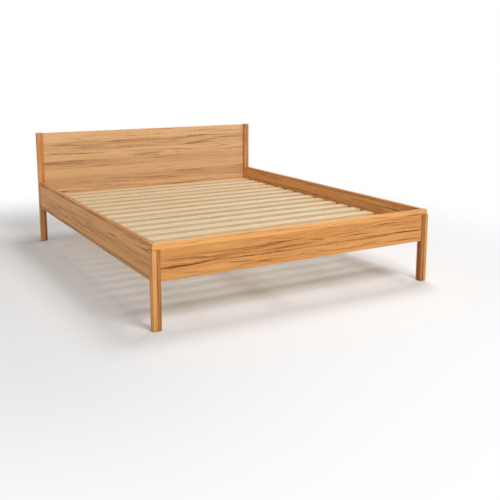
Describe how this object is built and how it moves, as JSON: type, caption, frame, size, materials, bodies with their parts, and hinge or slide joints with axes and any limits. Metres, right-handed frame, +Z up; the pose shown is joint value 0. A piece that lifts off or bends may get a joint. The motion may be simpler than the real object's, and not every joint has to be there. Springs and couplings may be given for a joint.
{
  "type": "bed frame",
  "caption": "Low double bed frame with square legs, a plain panel headboard between taller posts, hook-in side rails, and a slatted base on a centre beam with a levelling leg.",
  "frame": {"origin": "on the floor under the middle of the frame: the bottom centre of its bounding box", "axes": "+Z up from the floor; +Y along the length towards the head end; +X across, to the right as seen from the foot end"},
  "size_m": [1.68, 2.095, 0.762],
  "materials": {
    "heart_beech": "oiled heart beech, edge-glued from staves, satin",
    "frame_timber": "planed softwood, untreated",
    "slat_timber": "planed spruce, untreated",
    "dowel_beech": "plain round beech rod, raw",
    "zinc_steel": "bright zinc plate",
    "pad_plastic": "moulded, fine grain",
    "felt": "pressed wool felt",
    "webbing": "woven cotton tape"
  },
  "bodies": {
    "frame": {"footboard": "heart_beech", "headboard": "heart_beech", "foot_leg_left": "heart_beech", "head_post_left": "heart_beech", "side_rail_left": "heart_beech", "slat_cleat_left": "frame_timber", "slat_strap_left": "webbing", "glide_foot_left": "felt", "glide_head_left": "felt", "hook_plate_foot_left": "zinc_steel", "slotted_plate_foot_left": "zinc_steel", "hook_plate_head_left": "zinc_steel", "slotted_plate_head_left": "zinc_steel", "dowel_1_left": "dowel_beech", "dowel_2_left": "dowel_beech", "foot_leg_right": "heart_beech", "head_post_right": "heart_beech", "side_rail_right": "heart_beech", "slat_cleat_right": "frame_timber", "slat_strap_right": "webbing", "glide_foot_right": "felt", "glide_head_right": "felt", "hook_plate_foot_right": "zinc_steel", "slotted_plate_foot_right": "zinc_steel", "hook_plate_head_right": "zinc_steel", "slotted_plate_head_right": "zinc_steel", "dowel_1_right": "dowel_beech", "dowel_2_right": "dowel_beech", "beam_shoe_foot": "zinc_steel", "beam_bolt_foot": "zinc_steel", "beam_nut_foot": "zinc_steel", "beam_shoe_head": "zinc_steel", "beam_bolt_head": "zinc_steel", "beam_nut_head": "zinc_steel", "centre_beam": "frame_timber", "centre_leg_plate": "zinc_steel", "centre_leg": "frame_timber", "threaded_sleeve": "zinc_steel", "slat_01": "slat_timber", "slat_02": "slat_timber", "slat_03": "slat_timber", "slat_04": "slat_timber", "slat_05": "slat_timber", "slat_06": "slat_timber", "slat_07": "slat_timber", "slat_08": "slat_timber", "slat_09": "slat_timber", "slat_10": "slat_timber", "slat_11": "slat_timber", "slat_12": "slat_timber", "slat_13": "slat_timber", "slat_14": "slat_timber", "slat_15": "slat_timber", "slat_16": "slat_timber"},
    "levelling_foot": {"levelling_pad": "pad_plastic"},
    "levelling_screw": {"levelling_spindle": "zinc_steel"}
  },
  "joints": [
    {"name": "levelling_travel", "type": "slide", "parent": "frame", "child": "levelling_foot", "axis": [0, 0, 1], "range_m": [-0.012, 0.012]},
    {"name": "spindle_turn", "type": "hinge", "parent": "levelling_foot", "child": "levelling_screw", "pos_m": [0, 0, 0.013], "axis": [0, 0, 1], "range_deg": [-2970, 2970]}
  ],
  "couplings": [
    {"joint": "spindle_turn", "follows": "levelling_travel", "rad_per_m": 4188.8}
  ]
}
